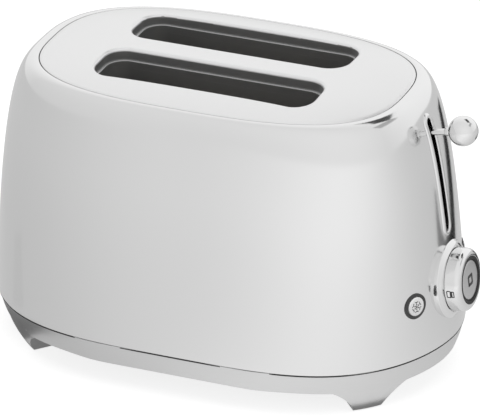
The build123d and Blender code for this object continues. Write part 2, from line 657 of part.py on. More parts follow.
with BuildPart() as dial_bezel:
    with BuildSketch(turning_plane(dial_plane())):
        with BuildLine():
            Polyline((0, -6), (BEZEL_RADIUS, -6), (BEZEL_RADIUS, 1.6))
            RadiusArc((BEZEL_RADIUS, 1.6), (BEZEL_RADIUS - 0.9, 2.5), -0.9)
            Line((BEZEL_RADIUS - 0.9, 2.5), (23.2, 2.6))
            RadiusArc((23.2, 2.6), (21.0, 4.6), -2.4)
            Polyline((21.0, 4.6), (0, 4.6), (0, -6))
        make_face()
    revolve(axis=axis_of(dial_plane()))
    shell_form(mode=Mode.SUBTRACT)
    rod(dial_plane(8), DIAL_HOLE - 0.4, 11)
    rod(dial_plane(9), NECK_BORE, 20, Mode.SUBTRACT)

with BuildPart() as dial_knob:
    with BuildSketch(turning_plane(dial_plane())):
        with BuildLine():
            Polyline((SLEEVE_RADIUS, 1.0), (9, 1.0), (9, 5.0), (KNOB_RADIUS, 5.0), (KNOB_RADIUS, 11.8))
            RadiusArc((KNOB_RADIUS, 11.8), (KNOB_RADIUS - 3.8, KNOB_FACE), -3.8)
            Polyline(
                (KNOB_RADIUS - 3.8, KNOB_FACE),
                (WELL_RADIUS, KNOB_FACE),
                (WELL_RADIUS, 9.0),
                (SLEEVE_RADIUS, 9.0),
                (SLEEVE_RADIUS, 1.0),
            )
        make_face()
    revolve(axis=axis_of(dial_plane()))

with BuildPart() as stop_button:
    rod(dial_plane(-12), STOP_RADIUS, 3)
    fillet(stop_button.faces().sort_by(Axis.X)[-1].edges(), 0.8)
    rod(dial_plane(BOARD_DEPTH - 6.6), SLEEVE_BORE - 0.3, BOARD_DEPTH - 6.6 + 12)

# Corner buttons: a housing through the shell with a sprung cap in it and a switch behind it
button_pieces = {}
for name, side in (("defrost", -1), ("reheat", 1)):
    mouth = button_plane(side)
    with BuildPart() as bezel:
        rod(button_plane(side, 3), 8.3, 4.9)
        shell_form(mode=Mode.SUBTRACT)
        rod(button_plane(side, 18), BUTTON_HOLE - 0.2, 19)
        rod(button_plane(side, 12), BUTTON_BORE, 20, Mode.SUBTRACT)
        rod(button_plane(side, 20), BUTTON_BORE, 6.5, Mode.SUBTRACT)
        rod(button_plane(side, 20), 2.4, 20, Mode.SUBTRACT)
    with BuildPart() as cap:
        rod(button_plane(side, 4), BUTTON_RADIUS, 4 + BUTTON_PROUD)
        fillet(cap.faces().sort_by(Axis(mouth.origin, mouth.z_dir))[-1].edges(), 0.8)
        rod(button_plane(side, 15.6), 2.0, 12)
    with BuildPart() as spring:
        coil(button_plane(side, 11.6), 7.2, 3.6, 0.35, 4)
    with BuildPart() as switch:
        block(button_plane(side, 22), 11, 11, 4, 1)
    button_pieces |= {
        f"{name}_housing": bezel,
        f"{name}_button": cap,
        f"{name}_spring": spring,
        f"{name}_switch": switch,
    }

pieces = {
    "body_shell": body_shell,
    "top_plate": top_plate,
    "base_skirt": base_skirt,
    "foot_pads": foot_pads,
    "bottom_plate": bottom_plate,
    "tray_rails": tray_rails,
    "cord_posts": cord_posts,
    "base_screws": base_screws,
    "cord_gland": cord_gland,
    "terminal_block": terminal_block,
    "crumb_tray": crumb_tray,
    "tray_front": tray_front,
    "control_end_sheet": control_end_sheet,
    "far_end_sheet": far_end_sheet,
    "reflector_front": reflector_front,
    "reflector_rear": reflector_rear,
    "upper_frame": upper_frame,
    "slot_throats": slot_throats,
    "lift_carriage": lift_carriage,
    "guide_rods": guide_rods,
    "rod_brackets": rod_brackets,
    "lever_stem": lever_stem,
    "lever_ball": lever_ball,
    "lift_spring": lift_spring,
    "latch_armature": latch_armature,
    "magnet_core": magnet_core,
    "magnet_coil": magnet_coil,
    "control_board": control_board,
    "board_components": board_components,
    "board_posts": board_posts,
    "dial_control": dial_control,
    "stop_switch": stop_switch,
    "dial_sleeve": dial_sleeve,
    "dial_bezel": dial_bezel,
    "dial_knob": dial_knob,
    "stop_button": stop_button,
}
for group in (mica_pieces, winding_pieces, guard_pieces, rack_pieces, button_pieces):
    pieces |= group

for name, piece in pieces.items():
    piece.part.label = name
    export_step(piece.part, f"parts/{name}.step")
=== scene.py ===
"""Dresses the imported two-slice toaster: smooth pressed panels, turned trim, finishes, lights and camera."""

from __future__ import annotations

import json
import logging
import math
from dataclasses import dataclass, field
from enum import Enum
from typing import Iterable, Sequence

import bmesh
import bpy
from mathutils import Matrix, Vector
from mathutils.kdtree import KDTree


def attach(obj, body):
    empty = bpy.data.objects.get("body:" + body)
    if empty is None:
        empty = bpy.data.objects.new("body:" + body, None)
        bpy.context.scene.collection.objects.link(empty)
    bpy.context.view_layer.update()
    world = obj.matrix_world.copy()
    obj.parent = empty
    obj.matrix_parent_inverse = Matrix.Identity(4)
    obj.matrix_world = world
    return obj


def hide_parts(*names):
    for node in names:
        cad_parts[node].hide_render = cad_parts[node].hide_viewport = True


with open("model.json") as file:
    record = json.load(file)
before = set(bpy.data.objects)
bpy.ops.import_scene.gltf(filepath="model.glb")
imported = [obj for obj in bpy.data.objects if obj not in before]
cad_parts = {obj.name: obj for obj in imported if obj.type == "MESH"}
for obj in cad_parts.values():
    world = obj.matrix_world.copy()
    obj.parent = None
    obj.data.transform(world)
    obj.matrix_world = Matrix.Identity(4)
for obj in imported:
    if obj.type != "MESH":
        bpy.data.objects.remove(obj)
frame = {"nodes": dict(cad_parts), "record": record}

LOG = logging.getLogger("toaster")
MM = 0.001
BODY_X = -6.45
CORNERS = ((1, 1), (-1, 1), (-1, -1), (1, -1))
WHITE = (1.0, 1.0, 1.0, 1.0)

# A point in space, a place in an outline, an end of a node's link, what a node's input takes, and a piece
Point = tuple[float, float, float]
Place = tuple[float, float]
Socket = bpy.types.NodeSocket
Value = float | tuple[float, ...] | Socket
Piece = bpy.types.Object


def at_body(x: float, y: float, z: float) -> Point:
    """Return a point in metres in the shared frame.

    Args:
        x: Distance from the middle of the body towards the lever, in millimetres.
        y: Distance to the back.
        z: Height.
    """
    return ((BODY_X + x) * MM, y * MM, z * MM)


# Node trees and finishes


class Wires:
    """Adds nodes to the tree of one material or world, and joins them."""

    def __init__(self, owner: bpy.types.Material | bpy.types.World) -> None:
        """Switch the owner to nodes and take up its tree."""
        owner.use_nodes = True
        self.nodes = owner.node_tree.nodes
        self.links = owner.node_tree.links

    def feed(self, node: bpy.types.Node, inputs: dict[str | int, Value]) -> None:
        """Set or link inputs of a node.

        Args:
            node: The node.
            inputs: Value of each input, or the output that it comes from.
        """
        for key, value in inputs.items():
            if isinstance(value, Socket):
                self.links.new(value, node.inputs[key])
            else:
                node.inputs[key].default_value = value

    def add(
        self, kind: str, inputs: dict[str | int, Value] | None = None, **settings: str
    ) -> bpy.types.bpy_prop_collection:
        """Add a node.

        Args:
            kind: Type of the node.
            inputs: Value of each input, or the output that it comes from.
            settings: Options of the node.

        Returns:
            The node's outputs.
        """
        node = self.nodes.new(kind)
        for key, value in settings.items():
            setattr(node, key, value)
        self.feed(node, inputs or {})
        return node.outputs

    def math(self, operation: str, *values: Value) -> Socket:
        """Add a math node.

        Args:
            operation: What it works out.
            values: Its values, or the outputs that they come from.

        Returns:
            The result.
        """
        return self.add("ShaderNodeMath", dict(enumerate(values)), operation=operation)[0]

    def glow(self, strength: Value) -> Socket:
        """Return a white emission of that strength."""
        return self.add("ShaderNodeEmission", {"Color": WHITE, "Strength": strength})[0]


class Grain(Enum):
    """How the fine marks of a finish run."""

    EVEN = (1.0, 1.0, 1.0)
    ALONG = (0.04, 1.0, 1.0)
    UPRIGHT = (1.0, 1.0, 0.05)


@dataclass(frozen=True)
class Finish:
    """One surface finish, made of procedural nodes on object coordinates.

    Attributes:
        name: Name of the material.
        dark: Darker colour of the mottle, linear.
        light: Lighter colour of the mottle, linear.
        metallic: 1 for bare metal and 0 for anything else.
        rough: Lowest and highest roughness.
        grain: Direction of the fine marks.
        marks: Size of the fine marks, in marks per metre.
        mottle: Size of the broad colour variation, in patches per metre.
        relief: Depth of the fine marks, in micrometres.
        coat: Weight of a clear coat.
    """

    name: str
    dark: tuple[float, float, float]
    light: tuple[float, float, float]
    metallic: float
    rough: tuple[float, float]
    grain: Grain
    marks: float
    mottle: float
    relief: float
    coat: float = 0.0

    def material(self) -> bpy.types.Material:
        """Return this finish's material, made on first use."""
        made = bpy.data.materials.get(self.name)
        return made if made else self._build()

    def _build(self) -> bpy.types.Material:
        """Build the node tree of the finish."""
        material = bpy.data.materials.new(self.name)
        wires = Wires(material)
        place = wires.add("ShaderNodeTexCoord")["Object"]
        drawn = wires.add("ShaderNodeMapping", {"Vector": place, "Scale": self.grain.value})["Vector"]
        fine = self._noise(wires, drawn, self.marks, 3.0)
        broad = self._noise(wires, place, self.mottle, 2.0)
        mix = {"A": (*self.dark, 1), "B": (*self.light, 1), "Factor": broad}
        colour = wires.add("ShaderNodeMix", mix, data_type="RGBA")["Result"]
        low, high = self.rough
        span = {"Value": fine, "From Min": 0.3, "From Max": 0.7, "To Min": low, "To Max": high}
        rough = wires.add("ShaderNodeMapRange", span)["Result"]
        surface = {"Base Color": colour, "Roughness": rough, "Metallic": self.metallic}
        surface["Coat Weight"] = self.coat
        if self.relief:
            bump = {"Strength": 0.6, "Distance": self.relief * 1e-6, "Height": fine}
            surface["Normal"] = wires.add("ShaderNodeBump", bump)["Normal"]
        wires.feed(wires.nodes["Principled BSDF"], surface)
        return material

    @staticmethod
    def _noise(wires: Wires, place: Socket, scale: float, detail: float) -> Socket:
        """Add a noise texture.

        Args:
            wires: Tree of the finish.
            place: Where the noise is read.
            scale: Patches per metre.
            detail: Octaves of finer noise.

        Returns:
            The noise.
        """
        return wires.add("ShaderNodeTexNoise", {"Vector": place, "Scale": scale, "Detail": detail})["Fac"]


def grey(value: float) -> tuple[float, float, float]:
    """Return a neutral colour of that linear value."""
    return (value, value, value)


POLISHED = Finish("polished_shell", grey(0.62), grey(0.66), 1.0, (0.05, 0.09), Grain.EVEN, 900, 12, 0)
SATIN_TOP = Finish("satin_top", grey(0.8), grey(0.86), 1.0, (0.34, 0.46), Grain.ALONG, 2600, 20, 8)
SATIN_BASE = Finish("satin_base", grey(0.56), grey(0.62), 1.0, (0.3, 0.4), Grain.ALONG, 2600, 20, 6)
CHROME = Finish("chrome_trim", grey(0.68), grey(0.72), 1.0, (0.04, 0.07), Grain.EVEN, 900, 30, 0)
SATIN_BUTTON = Finish("satin_button", grey(0.24), grey(0.3), 1.0, (0.3, 0.42), Grain.EVEN, 3500, 60, 6)
# Near-black finish for painted shade in gaps and in the well round the stop button.
PAINTED_GAP_SHADE = Finish("painted_gap_shade", grey(0.012), grey(0.02), 0.0, (0.5, 0.7), Grain.EVEN, 1500, 60, 10)
DARK_RING = Finish("dark_ring", grey(0.05), grey(0.075), 0.6, (0.25, 0.4), Grain.EVEN, 2200, 60, 6)
MARKING = Finish("dark_marking", grey(0.03), grey(0.045), 0.0, (0.45, 0.6), Grain.EVEN, 2500, 80, 4)
PALE_MARKING = Finish("pale_marking", grey(0.84), grey(0.9), 0.0, (0.4, 0.5), Grain.EVEN, 2500, 80, 4)

ALL_SLOTS = (
    POLISHED, SATIN_TOP, SATIN_BASE, CHROME, SATIN_BUTTON,
    Finish("rubber_pads", grey(0.02), grey(0.035), 0.0, (0.75, 0.9), Grain.EVEN, 3000, 90, 50),
    Finish("galvanised_sheet", grey(0.34), grey(0.52), 1.0, (0.35, 0.55), Grain.EVEN, 900, 160, 10),
    Finish("bright_reflector", grey(0.55), grey(0.64), 1.0, (0.22, 0.36), Grain.ALONG, 1800, 30, 10),
    # Painted shade: a darker copy of the slots' metal, for the shade inside the bread slots.
    Finish("dark_throat", grey(0.13), grey(0.18), 1.0, (0.38, 0.55), Grain.ALONG, 1800, 40, 10),
    Finish("tray_steel", grey(0.42), grey(0.52), 1.0, (0.32, 0.46), Grain.ALONG, 2200, 30, 10),
    Finish("ground_rod", grey(0.48), grey(0.58), 1.0, (0.18, 0.3), Grain.UPRIGHT, 2600, 60, 6),
    Finish("zinc_screws", grey(0.45), grey(0.6), 1.0, (0.25, 0.4), Grain.EVEN, 1600, 300, 10),
    Finish("spring_steel", grey(0.28), grey(0.38), 1.0, (0.25, 0.4), Grain.EVEN, 2500, 120, 6),
    Finish("guard_wire", grey(0.3), grey(0.46), 1.0, (0.28, 0.45), Grain.EVEN, 2500, 90, 8),
    Finish("rack_steel", grey(0.3), grey(0.42), 1.0, (0.3, 0.48), Grain.ALONG, 2200, 60, 10),
    Finish("mica", (0.3, 0.25, 0.18), (0.46, 0.4, 0.31), 0.0, (0.35, 0.6), Grain.EVEN, 1400, 220, 40, 0.15),
    Finish(
        "heating_ribbon", (0.1, 0.09, 0.08), (0.22, 0.2, 0.18), 1.0, (0.4, 0.6),
        Grain.ALONG, 1800, 140, 10,
    ),
    Finish("magnet_iron", grey(0.05), grey(0.09), 1.0, (0.45, 0.6), Grain.UPRIGHT, 2400, 80, 20),
    Finish(
        "copper_winding", (0.42, 0.15, 0.06), (0.62, 0.26, 0.11), 1.0, (0.25, 0.4),
        Grain.ALONG, 4200, 80, 60, 0.3,
    ),
    Finish(
        "circuit_board", (0.16, 0.11, 0.04), (0.24, 0.17, 0.07), 0.0, (0.4, 0.55),
        Grain.EVEN, 1600, 200, 20,
    ),
    Finish("black_plastic", grey(0.018), grey(0.03), 0.0, (0.38, 0.52), Grain.EVEN, 2600, 60, 20),
    Finish("white_plastic", (0.56, 0.55, 0.5), (0.66, 0.65, 0.6), 0.0, (0.4, 0.5), Grain.EVEN, 2400, 60, 20),
)
SLOT_FINISHES = {finish.name: finish for finish in ALL_SLOTS}


# Modelling by operators


class Bench:
    """Runs the modelling operators on one piece at a time."""

    @staticmethod
    def clear() -> None:
        """Leave edit mode and deselect everything."""
        if bpy.context.object and bpy.context.object.mode != "OBJECT":
            bpy.ops.object.mode_set(mode="OBJECT")
        bpy.ops.object.select_all(action="DESELECT")

    @staticmethod
    def activate(piece: Piece) -> None:
        """Select one piece alone and make it the active one."""
        Bench.clear()
        piece.select_set(True)
        bpy.context.view_layer.objects.active = piece

    @staticmethod
    def circle(name: str, places: Sequence[Point], fill: str) -> Piece:
        """Add a circle and move its points to their places, in edit mode.

        Args:
            name: Name of the piece.
            places: Place of each point, in metres.
            fill: How the circle is filled.

        Returns:
            The piece, left in edit mode.
        """
        Bench.clear()
        bpy.ops.mesh.primitive_circle_add(vertices=len(places), radius=1.0, fill_type=fill)
        piece = bpy.context.object
        piece.name = name
        bpy.ops.object.mode_set(mode="EDIT")
        mesh = bmesh.from_edit_mesh(piece.data)
        mesh.verts.ensure_lookup_table()
        for vertex, place in zip(mesh.verts, places):
            vertex.co = place
        bmesh.update_edit_mesh(piece.data)
        return piece

    @staticmethod
    def outward() -> None:
        """Turn the faces of the piece in edit mode outwards, and leave edit mode."""
        bpy.ops.mesh.select_all(action="SELECT")
        bpy.ops.mesh.normals_make_consistent(inside=False)
        bpy.ops.object.mode_set(mode="OBJECT")

    @staticmethod
    def loft(
        name: str, sections: Sequence[Sequence[Point]], close_first: bool = False, close_last: bool = False
    ) -> Piece:
        """Extrude a ring of edges from section to section.

        Args:
            name: Name of the piece.
            sections: Rings with the same number of points, in metres.
            close_first: Fill the first ring.
            close_last: Fill the last ring.

        Returns:
            The piece, with its normals pointing outwards.
        """
        piece = Bench.circle(name, sections[0], "NOTHING")
        if close_first:
            bpy.ops.mesh.edge_face_add()
            bpy.ops.mesh.select_mode(type="EDGE")
            bpy.ops.mesh.select_all(action="SELECT")
        previous = sections[0]
        for section in sections[1:]:
            bpy.ops.mesh.extrude_edges_move()
            mesh = bmesh.from_edit_mesh(piece.data)
            rim = KDTree(len(previous))
            for index, place in enumerate(previous):
                rim.insert(place, index)
            rim.balance()
            for vertex in mesh.verts:
                if vertex.select:
                    vertex.co = section[rim.find(vertex.co)[1]]
            bmesh.update_edit_mesh(piece.data)
            previous = section
        if close_last:
            bpy.ops.mesh.edge_face_add()
        bpy.ops.mesh.select_mode(type="VERT")
        Bench.outward()
        return piece

    @staticmethod
    def sheet(name: str, outline: Sequence[Point]) -> Piece:
        """Fill a flat outline.

        Args:
            name: Name of the piece.
            outline: Corners in order, in metres.

        Returns:
            The filled sheet.
        """
        piece = Bench.circle(name, outline, "NGON")
        bpy.ops.object.mode_set(mode="OBJECT")
        return piece

    @staticmethod
    def raised(name: str, outline: Sequence[Point], way: Vector, height: float) -> Piece:
        """Raise a flat outline into a low relief.

        Args:
            name: Name of the piece.
            outline: Corners in order, in metres.
            way: Direction of the rise.
            height: Height of the relief, in metres.

        Returns:
            The relief, with its normals pointing outwards.
        """
        piece = Bench.sheet(name, outline)
        bpy.ops.object.mode_set(mode="EDIT")
        bpy.ops.mesh.select_all(action="SELECT")
        bpy.ops.mesh.extrude_region_move(TRANSFORM_OT_translate={"value": way.normalized() * height})
        Bench.outward()
        return piece

    @staticmethod
    def modify(piece: Piece, kind: str, **settings: object) -> None:
        """Add a modifier to a piece and apply it.

        Args:
            piece: Piece to change.
            kind: Type of the modifier.
            settings: Values of the modifier.
        """
        Bench.activate(piece)
        modifier = piece.modifiers.new(kind.lower(), kind)
        for key, value in settings.items():
            setattr(modifier, key, value)
        bpy.ops.object.modifier_apply(modifier=modifier.name)

    @staticmethod
    def cut(piece: Piece, cutter: Piece) -> None:
        """Cut one closed mesh out of another and remove the cutter."""
        Bench.modify(piece, "BOOLEAN", operation="DIFFERENCE", object=cutter, solver="EXACT")
        bpy.data.objects.remove(cutter)

    @staticmethod
    def weld(piece: Piece) -> None:
        """Merge a piece's points that lie on each other, and turn its faces outwards."""
        bpy.ops.object.mode_set(mode="EDIT")
        bpy.ops.mesh.select_all(action="SELECT")
        bpy.ops.mesh.remove_doubles(threshold=0.001 * MM)
        Bench.outward()


def finish_piece(
    piece: Piece, finish: Finish, body: str, replaced: Sequence[str] = (), degrees: float = 35.0
) -> None:
    """Shade a piece, give it its finish and its body, and report it.

    Args:
        piece: Finished mesh in the shared frame.
        finish: Its finish.
        body: Body that it rides on.
        replaced: CAD nodes that it stands for.
        degrees: Angle below which edges are shaded smooth.
    """
    Bench.activate(piece)
    bpy.ops.object.shade_smooth_by_angle(angle=math.radians(degrees))
    piece.data.materials.clear()
    piece.data.materials.append(finish.material())
    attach(piece, body)
    if replaced:
        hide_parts(*replaced)
    LOG.info("%s: %d faces on %s", piece.name, len(piece.data.polygons), body)


# Shared forms


def even_steps(places: Sequence[Place], count: int) -> list[int]:
    """Cut a fine path into equal lengths.

    Args:
        places: Points of the path.
        count: Number of lengths.

    Returns:
        The index of the point at each end of the lengths.
    """
    run = [0.0]
    for before, after in zip(places, places[1:]):
        run.append(run[-1] + math.dist(before, after))
    found, step = [], 0
    for index in range(count + 1):
        while step < len(places) - 1 and run[step] < run[-1] * index / count:
            step += 1
        found.append(step)
    return found


@dataclass(frozen=True)
class Oval:
    """Closed oval whose quarters follow powers of the cosine and the sine, in millimetres."""

    half_length: float
    half_width: float
    end_power: float
    side_power: float

    def at(self, angle: float) -> Place:
        """Return the point of the rim at an angle."""
        cosine, sine = math.cos(angle), math.sin(angle)
        x = self.half_length * math.copysign(abs(cosine) ** (2 / self.end_power), cosine)
        y = self.half_width * math.copysign(abs(sine) ** (2 / self.side_power), sine)
        return x, y

    def grown(self, by: float) -> Oval:
        """Return the oval with both half sizes grown."""
        return Oval(self.half_length + by, self.half_width + by, self.end_power, self.side_power)

    def scaled(self, share: float) -> Oval:
        """Return the oval at a share of its size."""
        return Oval(self.half_length * share, self.half_width * share, self.end_power, self.side_power)

    def share(self, x: float, y: float) -> float:
        """Return the share of its size at which the oval passes through a point."""
        low, high = 0.02, 3.0
        for _ in range(40):
            middle = (low + high) / 2
            reach = abs(x / (middle * self.half_length)) ** self.end_power
            reach += abs(y / (middle * self.half_width)) ** self.side_power
            low, high = (middle, high) if reach > 1 else (low, middle)
        return (low + high) / 2

    def angles(self, count: int) -> list[float]:
        """Return angles whose points are evenly spaced along the rim."""
        turns = [2 * math.pi * step / 7200 for step in range(7201)]
        return [turns[step] for step in even_steps([self.at(turn) for turn in turns], count)[:-1]]

    def ring(self, z: float, angles: Sequence[float]) -> list[Point]:
        """Return the rim at a height as points in metres, in the shared frame."""
        return [at_body(x, y, z) for x, y in map(self.at, angles)]


@dataclass(frozen=True)
class ShellForm:
    """Outer form of the pressed shell, in millimetres from the middle of the body."""

    half_length: float = 155.0
    half_depth: float = 97.0
    seam: float = 33.6
    rim: float = 192.8
    end_lean: float = 14.0
    side_lean: float = 15.0
    end_roll: float = 20.8
    side_roll: float = 10.9
    end_power: float = 3.6
    end_power_loss: float = 0.75
    side_power: float = 1.8
    side_power_gain: float = 1.0

    def oval(self, share: float, inset: float = 0.0) -> Oval:
        """Return the section at a share of the height, drawn in by inset."""
        roll = 1 - max(0.0, 1 - share**3) ** (1 / 3)
        half_length = self.half_length - self.end_lean * share - self.end_roll * roll - inset
        half_width = self.half_depth - self.side_lean * share - self.side_roll * roll - inset
        end_power = self.end_power - self.end_power_loss * share
        return Oval(half_length, half_width, end_power, self.side_power + self.side_power_gain * share)

    def height(self, share: float) -> float:
        """Return the height at a share of the wall."""
        return self.seam + (self.rim - self.seam) * share

    def end_x(self, y: float, z: float) -> float:
        """Return how far the lever end stands out at a place across and up."""
        share = (z - self.seam) / (self.rim - self.seam)
        oval = self.oval(max(0.0, min(1.0, share)))
        across = min(1.0, abs(y) / oval.half_width)
        return oval.half_length * (1 - across**oval.side_power) ** (1 / oval.end_power)

    def even_shares(self, count: int) -> list[float]:
        """Return shares of the height that are evenly spaced along the end's profile."""
        shares = [step / 4000 for step in range(4001)]
        places = [(self.oval(share).half_length, self.height(share)) for share in shares]
        return [shares[step] for step in even_steps(places, count)]


SHELL = ShellForm()
RING_POINTS = 216


@dataclass(frozen=True)
class Spindle:
    """Axis of a turned piece: a place in millimetres from the middle of the body, and a direction."""

    x: float
    y: float
    z: float
    turn: float
    tilt: float

    def matrix(self) -> Matrix:
        """Return the transform from an upright axis at the origin, in millimetres, to this one in metres."""
        turn, tilt = math.radians(self.turn), math.radians(self.tilt)
        normal = Vector((math.cos(turn) * math.cos(tilt), math.sin(turn) * math.cos(tilt), math.sin(tilt)))
        across = Vector((-math.sin(turn), math.cos(turn), 0.0))
        upward = normal.cross(across)
        axes = Matrix((across, upward, normal)).transposed().to_4x4()
        return Matrix.Translation(Vector((BODY_X + self.x, self.y, self.z)) * MM) @ axes @ Matrix.Scale(MM, 4)

    def place(self, points: Iterable[Point]) -> list[Point]:
        """Move points from the axis's own frame to the shared frame."""
        matrix = self.matrix()
        return [tuple(matrix @ Vector(point)) for point in points]

    def turned(self, name: str, profile: Sequence[Place], count: int = 96) -> Piece:
        """Turn a profile about the axis.

        Args:
            name: Name of the piece.
            profile: Radius and height of each step, in millimetres.
            count: Points round the axis.

        Returns:
            The turned piece, closed at both ends, or a ring where the profile ends where it starts.
        """
        angles = [2 * math.pi * step / count for step in range(count)]
        sections = [
            self.place((radius * math.cos(angle), radius * math.sin(angle), height) for angle in angles)
            for radius, height in profile
        ]
        ring = profile[0] == profile[-1]
        piece = Bench.loft(name, sections, close_first=not ring, close_last=not ring)
        if ring:
            Bench.weld(piece)
        return piece


DIAL = Spindle(149.9, 0.0, 71.1, 0.0, 6.0)
DEFROST = Spindle(141.7, -40.6, 69.7, -27.2, 4.0)
REHEAT = Spindle(141.7, 40.6, 69.7, 27.2, 4.0)
STEM = Spindle(158.4, 0.0, 174.8, 0.0, 12.0)


def arc(middle: Place, radius: float, start: float, stop: float, steps: int) -> list[Place]:
    """Return points of an arc in a profile or an outline.

    Args:
        middle: Centre of the arc.
        radius: Radius of the arc.
        start: First angle, in degrees.
        stop: Last angle.
        steps: Number of steps.

    Returns:
        The points from start to stop.
    """
    angles = [math.radians(start + (stop - start) * step / steps) for step in range(steps + 1)]
    return [(middle[0] + radius * math.cos(angle), middle[1] + radius * math.sin(angle)) for angle in angles]


# Sub-assemblies


@dataclass
class PolishedShell:
    """Deep-drawn shell with its lever slot and the holes behind the controls, in millimetres.

    The turns give the inset and the rise or drop of each step. The lip's steps give its growth and its rise.
    """

    sheet: float = 1.2
    wall_steps: int = 64
    foot_turn: tuple[Place, ...] = ((1.2, 0.05), (0.5, 0.1), (0.12, 0.45))
    rim_turn: tuple[Place, ...] = ((0.35, 0.12), (0.5, 0.4), (0.5, 2.2), (6.0, 2.2))
    slot_width: float = 6.0
    slot_bottom: float = 104.2
    slot_top: float = 179.2
    slot_reach: Place = (118.0, 165.0)
    slot_gap: float = 0.15
    round_steps: int = 24
    straight_steps: int = 30
    lip_profile: tuple[Place, ...] = ((1.7, 1.12), (2.3, 0.95), (2.75, 0.6), (3.0, 0.1), (3.0, -0.5))
    dial_hole: float = 16.0
    button_hole: float = 7.4

    def build(self) -> None:
        """Build the shell and the raised lip of its lever slot."""
        angles = SHELL.oval(0.3).angles(RING_POINTS)
        sections = [SHELL.oval(0.0, inset).ring(SHELL.seam + rise, angles) for inset, rise in self.foot_turn]
        for share in SHELL.even_shares(self.wall_steps)[1:]:
            sections.append(SHELL.oval(share).ring(SHELL.height(share), angles))
        for inset, drop in self.rim_turn:
            sections.append(SHELL.oval(1.0, inset).ring(SHELL.rim - drop, angles))
        shell = Bench.loft("polished_shell", sections)
        Bench.modify(shell, "SOLIDIFY", thickness=self.sheet * MM, offset=-1.0)
        Bench.cut(shell, self._slot_cutter())
        Bench.cut(shell, DIAL.turned("dial_hole", ((self.dial_hole, -25.0), (self.dial_hole, 20.0)), 64))
        for spindle in (DEFROST, REHEAT):
            hole = ((self.button_hole, -10.0), (self.button_hole, 10.0))
            Bench.cut(shell, spindle.turned("button_hole", hole, 48))
        finish_piece(shell, POLISHED, "chassis", ("body_shell",))
        finish_piece(self._lip(), POLISHED, "chassis", degrees=60)

    def outline(self, grow: float) -> list[Place]:
        """Return the slot's outline as places across and up, grown outside the slot's edge."""
        radius = self.slot_width / 2 + grow
        high, low = self.slot_top - self.slot_width / 2, self.slot_bottom + self.slot_width / 2
        points = []
        for turn, start, stop in ((0, high, low), (180, low, high)):
            points += arc((0.0, start), radius, turn, turn + 180, self.round_steps)
            side = points[-1][0]
            for step in range(1, self.straight_steps):
                points.append((side, start + (stop - start) * step / self.straight_steps))
        return points

    def _slot_cutter(self) -> Piece:
        """Return the solid that opens the lever slot."""
        outline = self.outline(self.slot_gap)
        sections = [[at_body(x, y, z) for y, z in outline] for x in self.slot_reach]
        return Bench.loft("slot_cutter", sections, close_first=True, close_last=True)

    def _lip(self) -> Piece:
        """Return the rounded lip that stands round the lever slot."""
        profile = [(0.0, -1.6), (0.0, 0.4)]
        profile += [(0.6 - 0.6 * math.cos(turn), 0.4 + 0.7 * math.sin(turn)) for turn in (0.5, 1.0, 1.57)]
        sections = [
            [at_body(SHELL.end_x(y, z) + rise, y, z) for y, z in self.outline(grow)]
            for grow, rise in (*profile, *self.lip_profile)
        ]
        return Bench.loft("lever_slot_lip", sections)


@dataclass
class Seams:
    """Dark rings of painted shade in the thin gaps over the base and round the top plate: inset and height,
    in millimetres.
    """

    base: tuple[Place, ...] = (
        (2.0, 32.6), (0.62, 32.7), (0.3, 32.95), (0.3, 33.45), (0.62, 33.65), (2.0, 33.7), (2.0, 32.6),
    )
    plate: tuple[Place, ...] = (
        (0.3, -1.4), (0.3, -0.45), (0.6, -0.3), (1.1, -0.45), (1.1, -1.4), (0.3, -1.4),
    )

    def build(self) -> None:
        """Build both rings of painted shade."""
        angles = SHELL.oval(0.3).angles(RING_POINTS)
        # Each near-black ring stands for the shade that falls in its gap.
        for name, share, lift, profile in (
            ("base_gap_shade", 0.0, 0.0, self.base), ("plate_gap_shade", 1.0, SHELL.rim, self.plate)
        ):
            sections = [SHELL.oval(share, inset).ring(lift + z, angles) for inset, z in profile]
            finish_piece(Bench.loft(name, sections), PAINTED_GAP_SHADE, "chassis")


